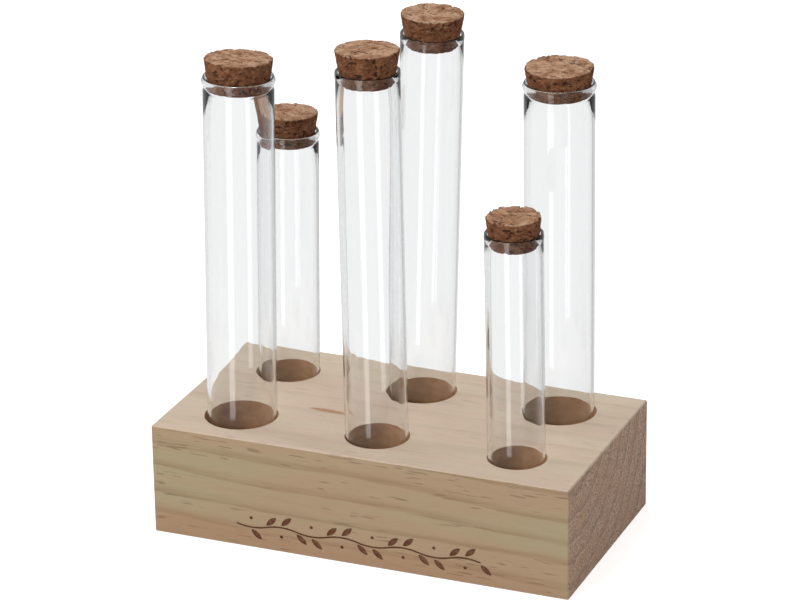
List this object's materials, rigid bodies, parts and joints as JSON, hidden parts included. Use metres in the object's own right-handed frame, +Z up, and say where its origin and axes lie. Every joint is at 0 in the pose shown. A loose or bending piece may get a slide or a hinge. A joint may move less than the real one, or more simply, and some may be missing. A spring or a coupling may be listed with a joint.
{
  "type": "test tube vase",
  "caption": "Rectangular pine block with upright round-bottomed glass tubes standing in drilled holes in two rows, each tube stopped with a tapered cork.",
  "frame": {"origin": "middle of the block's underside", "axes": "+X along the block, -Y towards its engraved front, +Z up"},
  "size_m": [0.19, 0.1, 0.2234],
  "materials": {
    "pine": "planed and sanded, bare, with growth rings and an engraved sprig burnt brown",
    "glass": "clear, thin walled, fire polished",
    "cork": "natural cork, pitted, matt"
  },
  "bodies": {
    "block": {"wood_block": "pine"},
    "tube_front_left": {"glass_tube_front_left": "glass"},
    "cork_front_left": {"cork_front_left": "cork"},
    "tube_front_middle": {"glass_tube_front_middle": "glass"},
    "cork_front_middle": {"cork_front_middle": "cork"},
    "tube_front_right": {"glass_tube_front_right": "glass"},
    "cork_front_right": {"cork_front_right": "cork"},
    "tube_back_left": {"glass_tube_back_left": "glass"},
    "cork_back_left": {"cork_back_left": "cork"},
    "tube_back_middle": {"glass_tube_back_middle": "glass"},
    "cork_back_middle": {"cork_back_middle": "cork"},
    "tube_back_right": {"glass_tube_back_right": "glass"},
    "cork_back_right": {"cork_back_right": "cork"}
  },
  "joints": [
    {"name": "tube_front_left_lift", "type": "slide", "parent": "block", "child": "tube_front_left", "axis": [0.0201, 0, 0.9998], "range_m": [0, 0.045]},
    {"name": "cork_front_left_pull", "type": "slide", "parent": "tube_front_left", "child": "cork_front_left", "axis": [0.0201, 0, 0.9998], "range_m": [0, 0.04]},
    {"name": "tube_front_middle_lift", "type": "slide", "parent": "block", "child": "tube_front_middle", "axis": [-0.0087, 0, 1], "range_m": [0, 0.045]},
    {"name": "cork_front_middle_pull", "type": "slide", "parent": "tube_front_middle", "child": "cork_front_middle", "axis": [-0.0087, 0, 1], "range_m": [0, 0.04]},
    {"name": "tube_front_right_lift", "type": "slide", "parent": "block", "child": "tube_front_right", "axis": [-0.0105, 0, 0.9999], "range_m": [0, 0.045]},
    {"name": "cork_front_right_pull", "type": "slide", "parent": "tube_front_right", "child": "cork_front_right", "axis": [-0.0105, 0, 0.9999], "range_m": [0, 0.04]},
    {"name": "tube_back_left_lift", "type": "slide", "parent": "block", "child": "tube_back_left", "axis": [0.0192, 0, 0.9998], "range_m": [0, 0.045]},
    {"name": "cork_back_left_pull", "type": "slide", "parent": "tube_back_left", "child": "cork_back_left", "axis": [0.0192, 0, 0.9998], "range_m": [0, 0.04]},
    {"name": "tube_back_middle_lift", "type": "slide", "parent": "block", "child": "tube_back_middle", "axis": [0.0332, 0, 0.9995], "range_m": [0, 0.045]},
    {"name": "cork_back_middle_pull", "type": "slide", "parent": "tube_back_middle", "child": "cork_back_middle", "axis": [0.0332, 0, 0.9995], "range_m": [0, 0.04]},
    {"name": "tube_back_right_lift", "type": "slide", "parent": "block", "child": "tube_back_right", "axis": [-0.0026, 0, 1], "range_m": [0, 0.045]},
    {"name": "cork_back_right_pull", "type": "slide", "parent": "tube_back_right", "child": "cork_back_right", "axis": [-0.0026, 0, 1], "range_m": [0, 0.04]}
  ]
}
